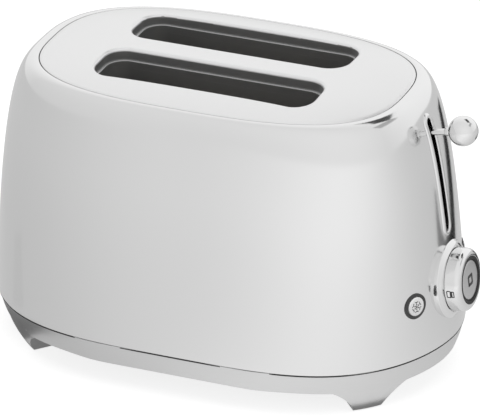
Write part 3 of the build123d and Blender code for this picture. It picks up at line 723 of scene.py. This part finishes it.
@dataclass
class CrownedTop:
    """Satin top plate with two bread slots whose edges roll down into collars, in millimetres.

    The edge's steps give its growth and its rise over the rim. Below the throat's top the collar gets painted
    shade.
    """

    crown: float = 5.0
    flat_share: float = 0.58
    sheet: float = 1.2
    edge_turn: tuple[Place, ...] = ((0.0, -2.2), (0.0, -0.5), (-0.15, -0.15), (-0.5, 0.1))
    ring_steps: int = 37
    ring_gap: float = 0.025
    eye: float = 0.01
    slot_y: float = 28.8
    slot_half_length: float = 73.7
    slot_half_width: float = 19.3
    slot_corner: float = 13.4
    corner_steps: int = 12
    side_steps: int = 24
    edge_roll: float = 2.2
    roll_steps: int = 8
    throat_top: float = 195.4
    step_z: float = 189.6
    step_inset: float = 1.15
    collar_top: float = 192.0
    collar_bottom: float = 184.8
    cut_heights: Place = (170.0, 215.0)
    rim: Oval = field(default_factory=lambda: SHELL.oval(1.0, 0.9))

    def height(self, share: float) -> float:
        """Return the height of the crown at a share of the plate's size."""
        fall = max(0.0, (share - self.flat_share) / (1 - self.flat_share))
        return SHELL.rim + self.crown * (1 - fall**2)

    def outline(self, side: int, grow: float) -> list[Place]:
        """Return the outline of one bread slot.

        Args:
            side: -1 for the front slot and 1 for the rear slot.
            grow: How far outside the slot's edge.

        Returns:
            The outline's points.
        """
        radius = self.slot_corner + grow
        reach_x, reach_y = self.slot_half_length - self.slot_corner, self.slot_half_width - self.slot_corner
        points = []
        for quarter, (way_x, way_y) in enumerate(CORNERS):
            middle = (way_x * reach_x, side * self.slot_y + way_y * reach_y)
            points += arc(middle, radius, 90 * quarter, 90 * quarter + 90, self.corner_steps)
            if quarter % 2 == 0:
                for step in range(1, self.side_steps):
                    along = way_x * 2 * reach_x * step / self.side_steps
                    points.append((middle[0] - along, middle[1] + way_y * radius))
        return points

    def build(self) -> None:
        """Build the plate and the rolled edges of its slots."""
        angles = self.rim.angles(RING_POINTS)
        sections = [self.rim.grown(grow).ring(SHELL.rim + rise, angles) for grow, rise in self.edge_turn]
        shares = [1 - self.ring_gap * step for step in range(1, self.ring_steps + 1)] + [self.eye]
        sections += [self.rim.scaled(share).ring(self.height(share), angles) for share in shares]
        plate = Bench.loft("crowned_top", sections, close_last=True)
        Bench.modify(plate, "SOLIDIFY", thickness=self.sheet * MM, offset=-1.0)
        rolls = []
        for side, name in ((-1, "front"), (1, "rear")):
            hole = self.outline(side, self.edge_roll - 0.1)
            cutter = [[at_body(x, y, z) for x, y in hole] for z in self.cut_heights]
            Bench.cut(plate, Bench.loft("slot_cutter", cutter, close_first=True, close_last=True))
            rolls.append(self._roll(side, f"slot_roll_{name}"))
        finish_piece(plate, SATIN_TOP, "chassis", ("top_plate",), 30)
        for roll in rolls:
            finish_piece(roll, SATIN_TOP, "chassis", degrees=50)
            self._paint_collar_shade(roll)

    def _paint_collar_shade(self, roll: Piece) -> None:
        """Paint shade on the collar below the rolled edge with the darker throat finish; the upward face of
        its step keeps the lighter satin as a painted lit line.
        """
        roll.data.materials.append(SLOT_FINISHES["dark_throat"].material())
        # Painted shade below the throat's top; the step's upward face stays light as a painted lit line.
        for face in roll.data.polygons:
            near_step = abs(face.center.z - (self.step_z - 0.05) * MM) < 0.1 * MM
            if face.center.z < self.throat_top * MM and not (near_step and abs(face.normal.z) > 0.9):
                face.material_index = 1

    def _roll(self, side: int, name: str) -> Piece:
        """Build the rolled edge and collar of one slot.

        Args:
            side: -1 for the front slot and 1 for the rear slot.
            name: Name of the piece.

        Returns:
            The piece.
        """
        sections = []
        for step in range(self.roll_steps + 1):
            angle = math.pi / 2 * step / self.roll_steps
            grow, drop = self.edge_roll * (1 - math.sin(angle)), self.edge_roll * (1 - math.cos(angle))
            sections.append([
                at_body(x, y, self.height(self.rim.share(x, y)) - drop) for x, y in self.outline(side, grow)
            ])
        low, inset = self.step_z - 0.1, -self.step_inset
        steps = ((0.0, self.collar_top), (0.0, self.step_z), (inset, low), (inset, self.collar_bottom))
        for grow, z in steps:
            sections.append([at_body(x, y, z) for x, y in self.outline(side, grow)])
        roll = Bench.loft(name, sections)
        Bench.activate(roll)
        bpy.ops.object.mode_set(mode="EDIT")
        bpy.ops.mesh.select_all(action="SELECT")
        mesh = bmesh.from_edit_mesh(roll.data)
        mesh.normal_update()
        centre_y = side * self.slot_y * MM
        if sum((face.calc_center_median().y - centre_y) * face.normal.y for face in mesh.faces) > 0:
            bpy.ops.mesh.flip_normals()
        bpy.ops.object.mode_set(mode="OBJECT")
        Bench.modify(roll, "SOLIDIFY", thickness=self.sheet * MM, offset=-1.0)
        return roll


@dataclass
class Controls:
    """Dial with its bezel and stop button, and the two corner buttons, in millimetres and degrees.

    Each bar of the slice of bread is given by its bottom, top, left and right.
    """

    square: float = 2.8
    square_bar: float = 0.63
    square_height: float = 13.8
    slice_reach: float = 20.02
    slice_turn: float = 184.0
    slice_bars: tuple[tuple[float, float, float, float], ...] = (
        (5.4, 6.0, -2.1, 2.1), (5.7, 8.0, 1.9, 2.5), (5.7, 8.0, -2.5, -1.9), (8.0, 10.3, -2.2, -1.6),
        (8.0, 10.3, 1.6, 2.2), (10.0, 10.6, -1.9, 1.9), (7.7, 9.3, -2.2, 2.2),
    )
    slice_rise: float = 0.08
    dot_height: float = 2.66
    relief: float = 0.12

    def build(self) -> None:
        """Build every piece of the controls."""
        self._bezel()
        self._knob()
        self._stop()
        self._paint_well_shade()
        self._square()
        self._slice()
        snowflake = [(0.0, 0.65, 0.0)]
        for way in range(30, 390, 60):
            snowflake += [(1.5, 0.5, way), (2.9, 0.5, way), (3.4, 0.38, way + 17), (3.4, 0.38, way - 17)]
        circle = [(2.6, 0.5, 22.5 + 45 * step) for step in range(8)]
        self._corner_button("defrost", DEFROST, snowflake)
        self._corner_button("reheat", REHEAT, circle)

    @staticmethod
    def _bezel() -> None:
        """Build the bezel: a ring whose face rises from a low rim to the knob."""
        profile = [(12.5, -9.0), (15.4, -9.0), (15.4, -3.0), (24.9, -3.0), (24.9, 1.5)]
        profile += arc((24.4, 1.6), 0.5, 0, 60, 4)
        profile += [(24.0, 2.35), (23.3, 3.05), (22.4, 3.65), (21.5, 4.1), (20.9, 4.3)]
        profile += [(20.6, 4.2), (20.5, 3.9), (20.5, 1.6), (12.5, 1.6), (12.5, -9.0)]
        ring = DIAL.turned("dial_bezel_ring", profile)
        finish_piece(ring, CHROME, "chassis", ("dial_bezel",))

    @staticmethod
    def _knob() -> None:
        """Build the knob, with a rounded front edge and a well for the stop button."""
        profile = [(6.05, 1.2), (9.0, 1.2), (9.0, 3.4), (19.6, 3.4), (20.0, 3.8), (20.0, 10.3)]
        profile += arc((16.2, 10.5), 3.8, 0, 90, 12)
        profile += [(15.4, 14.3)]
        profile += arc((15.4, 13.9), 0.4, 90, 180, 4)
        profile += [(15.0, 8.6), (6.05, 8.6), (6.05, 1.2)]
        knob = DIAL.turned("dial_knob_turned", profile)
        finish_piece(knob, CHROME, "dial", ("dial_knob",))

    @staticmethod
    def _stop() -> None:
        """Build the stop button in the middle of the knob."""
        profile = [(2.5, -27.0), (2.5, 10.7), (4.0, 11.3), (12.4, 11.3), (12.4, 13.2)]
        profile += arc((11.8, 13.2), 0.6, 0, 90, 5)
        profile += [(8.0, 13.85)]
        button = DIAL.turned("stop_button_turned", profile)
        finish_piece(button, SATIN_BUTTON, "stop", ("stop_button",))

    @staticmethod
    def _paint_well_shade() -> None:
        """Build the dark ring of painted shade in the well between the knob and the stop button."""
        # The near-black ring stands for the shade that falls in the well round the stop button.
        profile = [(12.5, 9.0), (12.5, 13.3), (13.3, 13.5), (13.5, 14.15), (13.7, 14.25), (14.7, 14.3)]
        profile += [(15.2, 14.45), (15.4, 14.4), (14.98, 14.2), (14.98, 9.0), (12.5, 9.0)]
        finish_piece(DIAL.turned("stop_button_well_shade", profile), PAINTED_GAP_SHADE, "dial")

    def _square(self) -> None:
        """Build the plain square on the stop button."""
        reach, bar = self.square, self.square_bar
        for index, (x, y, width, height) in enumerate(
            ((0, reach, reach, bar), (0, -reach, reach, bar), (reach, 0, bar, reach), (-reach, 0, bar, reach))
        ):
            corners = [(x + i * (width + bar / 2), y + j * (height + bar / 2)) for i, j in CORNERS]
            mark = self._relief(f"stop_square_{index}", DIAL, corners, self.square_height)
            finish_piece(mark, MARKING, "stop", degrees=20)

    def _slice(self) -> None:
        """Build the slice of bread on the side of the knob."""
        reach, middle = self.slice_reach, math.radians(self.slice_turn)
        outward = DIAL.matrix().to_3x3() @ Vector((math.cos(middle), math.sin(middle), 0.0))
        for index, (low, high, left, right) in enumerate(self.slice_bars):
            steps = [left + (right - left) * step / 6 for step in range(7)]
            outline = [(along, low) for along in steps] + [(along, high) for along in reversed(steps)]
            turns = [(middle + along / reach, height) for along, height in outline]
            places = DIAL.place((reach * math.cos(turn), reach * math.sin(turn), z) for turn, z in turns)
            mark = Bench.raised(f"slice_mark_{index}", places, outward, self.slice_rise * MM)
            finish_piece(mark, MARKING, "dial", degrees=20)

    def _relief(self, name: str, spindle: Spindle, outline: Sequence[Place], height: float) -> Piece:
        """Raise an outline on a face square to a spindle.

        Args:
            name: Name of the piece.
            spindle: Axis of the face.
            outline: Corners across and up, in millimetres.
            height: Height of the face along the axis.

        Returns:
            The relief.
        """
        places = spindle.place((x, y, height) for x, y in outline)
        return Bench.raised(name, places, spindle.matrix().to_3x3() @ Vector((0, 0, 1)), self.relief * MM)

    def _corner_button(self, name: str, spindle: Spindle, dots: Sequence[Point]) -> None:
        """Build one corner button with its ring and its sign.

        Args:
            name: Name of the button and of its body.
            spindle: Axis of the button.
            dots: Distance from the axis, radius, and direction in degrees, of each dot of the sign.
        """
        profile = [(6.35, -6.0), (7.2, -6.0), (7.2, -3.0), (8.35, -3.0), (8.35, 1.4)]
        profile += arc((7.95, 1.5), 0.4, 0, 80, 4)
        profile += [(6.6, 2.15), (6.35, 2.0), (6.35, -6.0)]
        ring = spindle.turned(f"{name}_ring", profile, 64)
        finish_piece(ring, DARK_RING, "chassis")
        profile = [(6.12, -4.0), (6.12, 2.1)] + arc((5.5, 2.1), 0.6, 0, 90, 5) + [(3.0, 2.72)]
        cap = spindle.turned(f"{name}_cap", profile, 64)
        finish_piece(cap, PALE_MARKING, name)
        for index, (reach, radius, way) in enumerate(dots):
            middle = (reach * math.cos(math.radians(way)), reach * math.sin(math.radians(way)))
            outline = arc(middle, radius, 0, 330, 11)
            dot = self._relief(f"{name}_dot_{index}", spindle, outline, self.dot_height)
            finish_piece(dot, MARKING, name, degrees=20)


@dataclass
class LeverTrim:
    """Ball with its neck, and the lever's stem: radius and place on the axis, in millimetres."""

    ball: float = 9.5
    ball_start: float = -9.1
    neck: tuple[Place, ...] = ((2.02, -11.8), (2.5, -11.8), (2.75, -11.5), (2.75, -9.4))
    stem: tuple[Place, ...] = ((1.7, -62.7), (2.0, -62.3), (2.0, -6.0))

    def build(self) -> None:
        """Build the ball with its neck, and the stem."""
        start = math.degrees(math.asin(self.ball_start / self.ball))
        profile = [*self.neck, *arc((0.0, 0.0), self.ball, start, 89.0, 30)]
        ball = STEM.turned("lever_ball_turned", profile)
        finish_piece(ball, CHROME, "lever", ("lever_ball",), 50)
        stem = STEM.turned("lever_stem_turned", self.stem, 48)
        finish_piece(stem, CHROME, "lever", ("lever_stem",))


# Stage


def toward(azimuth: float, elevation: float) -> Vector:
    """Return the direction from the object to a place round it.

    Args:
        azimuth: Turn from the front towards the lever's side, in degrees.
        elevation: Rise above the table, in degrees.
    """
    turn, rise = math.radians(azimuth), math.radians(elevation)
    return Vector((math.sin(turn) * math.cos(rise), -math.cos(turn) * math.cos(rise), math.sin(rise)))


@dataclass
class Studio:
    """Camera, floor, lamps and the white room round them, in metres and degrees.

    The picture, its centre and the focal length are in pixels. The key is the room's brightest side, near
    gives the distances between which the floor, as mirrors see it, rises past its painted shade round the
    object to its full brightness, and the wall is what mirrors see of the world. Strips and cards are painted
    reflections that only mirrors see. A strip has a name, a brightness and corners. A card has a name, a
    brightness, an azimuth, an elevation, a distance and half sizes. A lamp has a name, a place, a size and a
    power.
    """

    azimuth: float = 23.49
    elevation: float = 26.43
    roll: float = -0.87
    distance: float = 3.56543
    target: Point = (-0.00503, 0.0, 0.09187)
    picture: Place = (480.0, 420.0)
    centre: Place = (231.21, 209.74)
    focal_px: float = 5624.6
    sensor: float = 36.0
    key_azimuth: float = 33.0
    key_focus: float = 3.75
    key_gain: float = 0.37
    room: float = 0.685
    # Painted shade on the floor as mirrors see it: it fades out between these distances, from its share of
    # brightness nearest the object.
    near: Place = (0.12, 0.8)
    near_share: float = 0.93
    wall_base: float = 0.46
    wall_share: float = 0.45
    wall_rise: float = 0.1
    wall_behind: float = 0.28
    ambient: float = 0.55
    floor_tone: float = 0.34
    floor_lift: float = 0.8
    # Painted reflections: dark sheets on the floor that only mirrors see.
    painted_reflection_strips: tuple[tuple[str, float, tuple[Place, ...]], ...] = (
        ("narrow_strip", 0.02, (
            (0.195, 0.185), (0.275, 0.185), (0.262, 0.225), (0.242, 0.27), (0.256, 0.35),
            (0.28, 0.47), (0.33, 0.75), (0.2, 0.75), (0.182, 0.4), (0.192, 0.27),
        )),
        ("grey_patch", 0.22, (
            (0.262, 0.17), (0.305, 0.175), (0.322, 0.21), (0.34, 0.245), (0.357, 0.285), (0.375, 0.33),
            (0.36, 0.335), (0.345, 0.3), (0.322, 0.262), (0.3, 0.232), (0.268, 0.215),
        )),
        ("far_end_patch", 0.14, (
            (-0.14, 0.03), (-0.178, 0.02), (-0.184, -0.03), (-0.184, -0.08), (-0.172, -0.115),
            (-0.12, -0.135),
        )),
        ("far_end_band", 0.62, (
            (-0.206, -0.062), (-0.34, -0.052), (-0.36, -0.1), (-0.23, -0.098), (-0.21, -0.096),
        )),
    )
    strip_height: float = 0.0004
    # Painted shadow under the object, which only mirrors see: how far it grows past the base, and its
    # brightness.
    painted_shadow_grow: float = 9.0
    painted_shadow_tone: float = 0.22
    # Painted reflections: cards hung behind the object that only mirrors see.
    cards: tuple[tuple[str, float, float, float, float, float, float], ...] = (
        ("dark_card", 0.08, 152.0, 56.0, 1.5, 0.4, 0.21),
        ("grey_card", 0.48, 112.0, 43.0, 1.6, 0.42, 0.17),
    )
    aim: Point = (0.0, 0.0, 0.1)
    lamps: tuple[tuple[str, Point, float, float], ...] = (
        ("top_lamp", (0.3, -0.5, 2.2), 2.2, 26.0),
        ("front_lamp", (-1.2, -2.4, 1.4), 1.6, 10.0),
        ("end_lamp", (2.4, -0.6, 1.2), 1.4, 14.0),
    )

    def build(self) -> None:
        """Build the whole stage."""
        self._camera()
        self._world()
        self._floor()
        self._strips()
        self._lamps()
        bpy.context.scene.view_settings.view_transform = "Standard"

    def _camera(self) -> None:
        """Place the camera where the photograph was taken."""
        back = toward(self.azimuth, self.elevation)
        right = (-back).cross(Vector((0, 0, 1))).normalized()
        upward = right.cross(-back)
        roll = math.radians(self.roll)
        across = right * math.cos(roll) + upward * math.sin(roll)
        over = upward * math.cos(roll) - right * math.sin(roll)
        width, height = self.picture
        data = bpy.data.cameras.new("camera")
        data.sensor_fit = "HORIZONTAL"
        data.sensor_width = self.sensor
        data.lens = self.focal_px * self.sensor / width
        data.shift_x = (width / 2 - self.centre[0]) / width
        data.shift_y = (self.centre[1] - height / 2) / width
        data.clip_end = 50.0
        camera = bpy.data.objects.new("camera", data)
        turned = Matrix((across, over, back)).transposed().to_4x4()
        camera.matrix_world = Matrix.Translation(Vector(self.target) + back * self.distance) @ turned
        bpy.context.scene.collection.objects.link(camera)
        bpy.context.scene.camera = camera

    def _sheen(self, wires: Wires, way: Socket) -> Socket:
        """Return how bright the room is in a direction: brightest in front, to the lever's side.

        Args:
            wires: Tree to add to.
            way: Direction from the object, level or not.

        Returns:
            The brightness.
        """
        unit = wires.add("ShaderNodeVectorMath", {0: way}, operation="NORMALIZE")[0]
        key = tuple(toward(self.key_azimuth, 0.0))
        along = wires.add("ShaderNodeVectorMath", {0: unit, 1: key}, operation="DOT_PRODUCT")["Value"]
        peak = wires.math("POWER", wires.math("MULTIPLY_ADD", along, 0.5, 0.5), self.key_focus)
        return wires.math("MULTIPLY_ADD", peak, self.key_gain, self.room)

    def _world(self) -> None:
        """Give the room a white wall, which metal sees with the room's own fall of light."""
        world = bpy.data.worlds.new("white_room")
        bpy.context.scene.world = world
        wires = Wires(world)
        path = wires.add("ShaderNodeLightPath")
        way = wires.add("ShaderNodeTexCoord")["Generated"]
        wall = wires.math("MULTIPLY_ADD", self._sheen(wires, way), self.wall_share, self.wall_base)
        split = wires.add("ShaderNodeSeparateXYZ", {0: way})
        for axis, gain in (("Z", self.wall_rise), ("Y", self.wall_behind)):
            part = wires.math("MULTIPLY", wires.math("MAXIMUM", split[axis], 0.0), gain)
            wall = wires.math("ADD", wall, part)
        mirrored = wires.math("MAXIMUM", path["Is Glossy Ray"], path["Is Transmission Ray"])
        white = wires.math("MAXIMUM", wires.math("MULTIPLY", mirrored, wall), path["Is Camera Ray"])
        ambient = wires.math("MULTIPLY", path["Is Diffuse Ray"], self.ambient)
        strength = wires.math("MAXIMUM", white, ambient)
        wires.feed(wires.nodes["Background"], {"Color": WHITE, "Strength": strength})

    def _floor(self) -> None:
        """Lay a plain white floor that keeps the object's shadow; in mirrors it glows as a painted reflection
        of the room's light, with painted shade that makes it dimmer near the object.
        """
        Bench.clear()
        bpy.ops.mesh.primitive_plane_add(size=60.0, location=(0, 0, 0))
        floor = bpy.context.object
        floor.name = "floor"
        material = bpy.data.materials.new("white_floor")
        wires = Wires(material)
        shader = wires.nodes["Principled BSDF"]
        matt = {"Base Color": (*grey(self.floor_tone), 1), "Roughness": 0.9, "Specular IOR Level": 0.0}
        wires.feed(shader, matt)
        path = wires.add("ShaderNodeLightPath")
        lift = wires.glow(wires.math("MULTIPLY", path["Is Camera Ray"], self.floor_lift))
        lit = wires.add("ShaderNodeAddShader", {0: shader.outputs[0], 1: lift})[0]
        place = wires.add("ShaderNodeTexCoord")["Object"]
        # Painted shade: in mirrors the floor is dimmer near the object.
        length = wires.add("ShaderNodeVectorMath", {0: place}, operation="LENGTH")["Value"]
        low, high = self.near
        span = {"Value": length, "From Min": low, "From Max": high, "To Min": self.near_share, "To Max": 1.0}
        reach = wires.add("ShaderNodeMapRange", span, interpolation_type="SMOOTHSTEP")["Result"]
        # Painted reflection: for mirrors the floor glows with the room's fall of light, brightest to the key
        # side.
        mirrored = wires.glow(wires.math("MULTIPLY", self._sheen(wires, place), reach))
        both = wires.add("ShaderNodeMixShader", {0: path["Is Glossy Ray"], 1: lit, 2: mirrored})[0]
        wires.feed(wires.nodes["Material Output"], {"Surface": both})
        floor.data.materials.append(material)

    def _strips(self) -> None:
        """Lay painted reflections, dark sheets on the floor and cards hung behind the object, and a painted
        shadow under the object, which only polished metal sees.
        """
        for name, tone, corners in self.painted_reflection_strips:
            self._unseen(Bench.sheet(name, [(x, y, self.strip_height) for x, y in corners]), tone)
        # Painted shadow: a dark sheet under the object that only mirrors see stands for the shade beneath it.
        below = SHELL.oval(0.0, self.painted_shadow_grow)
        self._unseen(Bench.sheet("painted_shadow_below", below.ring(0.3, below.angles(48))), self.painted_shadow_tone)
        for name, tone, azimuth, elevation, distance, width, height in self.cards:
            way, across = toward(azimuth, elevation), toward(azimuth + 90, 0.0)
            upward = across.cross(-way)
            middle = Vector(self.aim) + way * distance
            corners = [middle + across * (i * width) + upward * (j * height) for i, j in CORNERS]
            self._unseen(Bench.sheet(name, [tuple(corner) for corner in corners]), tone)

    @staticmethod
    def _unseen(sheet: Piece, tone: float) -> None:
        """Give a sheet its tone and hide it from all but mirrors.

        Args:
            sheet: Sheet of the stage.
            tone: Its brightness.
        """
        material = bpy.data.materials.new(sheet.name)
        wires = Wires(material)
        wires.feed(wires.nodes["Material Output"], {"Surface": wires.glow(tone)})
        sheet.data.materials.append(material)
        sheet.visible_camera = sheet.visible_diffuse = sheet.visible_shadow = False

    def _lamps(self) -> None:
        """Hang soft lamps above and in front of the object."""
        for name, place, size, power in self.lamps:
            data = bpy.data.lights.new(name, "AREA")
            data.shape = "DISK"
            data.size = size
            data.energy = power
            lamp = bpy.data.objects.new(name, data)
            lamp.location = place
            lamp.visible_glossy = False
            lamp.rotation_euler = (Vector(self.aim) - Vector(place)).to_track_quat("-Z", "Y").to_euler()
            bpy.context.scene.collection.objects.link(lamp)


def dress_frame() -> None:
    """Give every CAD node the finish of its slot."""
    for entry in frame["record"]["subparts"]:
        node, slot = entry["node"], entry["material_slot"]
        piece = frame["nodes"][node]
        piece.data.materials.clear()
        piece.data.materials.append(SLOT_FINISHES[slot].material())
        LOG.info("%s: %s", node, slot)


def main() -> None:
    """Build the dressed toaster on its stage."""
    logging.basicConfig(level=logging.INFO, format="%(message)s")
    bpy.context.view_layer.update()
    dress_frame()
    for part in (PolishedShell(), Seams(), CrownedTop(), Controls(), LeverTrim(), Studio()):
        part.build()
    Bench.clear()


if __name__ == "__main__":
    main()
